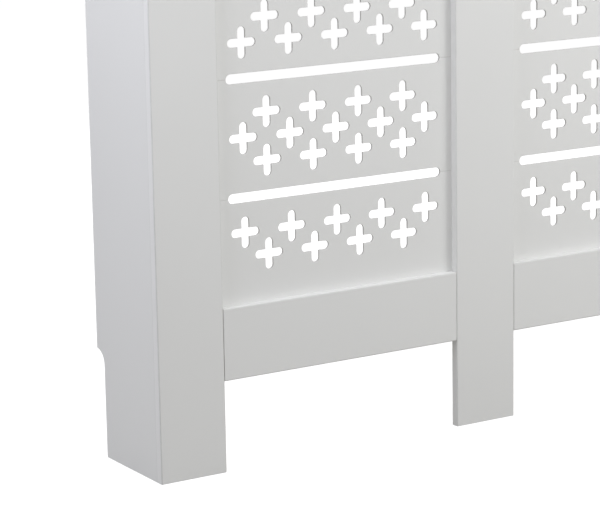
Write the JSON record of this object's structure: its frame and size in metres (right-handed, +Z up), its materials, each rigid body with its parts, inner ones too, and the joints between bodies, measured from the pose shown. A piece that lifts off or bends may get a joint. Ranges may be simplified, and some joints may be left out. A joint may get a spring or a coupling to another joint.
{
  "type": "radiator cover cabinet",
  "caption": "Shallow board cabinet that stands over a wall radiator: side panels, legs, rails, a flat shelf and grille boards with cross-shaped and slotted cut-outs, open at back and floor.",
  "frame": {"origin": "on the floor, under the middle of the shelf", "axes": "+X along the width to the right as seen from the front, +Y towards the wall behind, +Z up"},
  "size_m": [1.52, 0.19, 0.815],
  "materials": {
    "painted_board": "smooth white satin paint on medium-density fibreboard",
    "bare_pine": "planed and unpainted",
    "zinc_bracket": "zinc-plated strip",
    "zinc_screw": "zinc-plated"
  },
  "bodies": {
    "root": {"batten_screw_high_left": "zinc_screw", "batten_screw_high_right": "zinc_screw", "batten_screw_low_left": "zinc_screw", "batten_screw_low_right": "zinc_screw", "bottom_rail_left": "painted_board", "bottom_rail_middle": "painted_board", "bottom_rail_right": "painted_board", "bracket_screw_left": "zinc_screw", "bracket_screw_right": "zinc_screw", "cleat_screw_front_left": "zinc_screw", "cleat_screw_front_right": "zinc_screw", "cleat_screw_rear_left": "zinc_screw", "cleat_screw_rear_right": "zinc_screw", "corner_batten_left": "bare_pine", "corner_batten_right": "bare_pine", "end_stile_left": "painted_board", "end_stile_right": "painted_board", "grille_board_bottom": "painted_board", "grille_board_middle": "painted_board", "grille_board_top": "painted_board", "grille_screw_bottom_end_left": "zinc_screw", "grille_screw_bottom_end_right": "zinc_screw", "grille_screw_bottom_mid_left": "zinc_screw", "grille_screw_bottom_mid_right": "zinc_screw", "grille_screw_middle_end_left": "zinc_screw", "grille_screw_middle_end_right": "zinc_screw", "grille_screw_middle_mid_left": "zinc_screw", "grille_screw_middle_mid_right": "zinc_screw", "grille_screw_top_end_left": "zinc_screw", "grille_screw_top_end_right": "zinc_screw", "grille_screw_top_mid_left": "zinc_screw", "grille_screw_top_mid_right": "zinc_screw", "lower_brace": "bare_pine", "lower_brace_screw_end_left": "zinc_screw", "lower_brace_screw_end_right": "zinc_screw", "lower_brace_screw_mid_left": "zinc_screw", "lower_brace_screw_mid_right": "zinc_screw", "mid_stile_left": "painted_board", "mid_stile_right": "painted_board", "side_panel_left": "painted_board", "side_panel_right": "painted_board", "top_cleat_left": "bare_pine", "top_cleat_right": "bare_pine", "top_rail_left": "painted_board", "top_rail_middle": "painted_board", "top_rail_right": "painted_board", "top_shelf": "painted_board", "upper_brace": "bare_pine", "upper_brace_screw_end_left": "zinc_screw", "upper_brace_screw_end_right": "zinc_screw", "upper_brace_screw_mid_left": "zinc_screw", "upper_brace_screw_mid_right": "zinc_screw", "wall_bracket_left": "zinc_bracket", "wall_bracket_right": "zinc_bracket"}
  },
  "joints": []
}
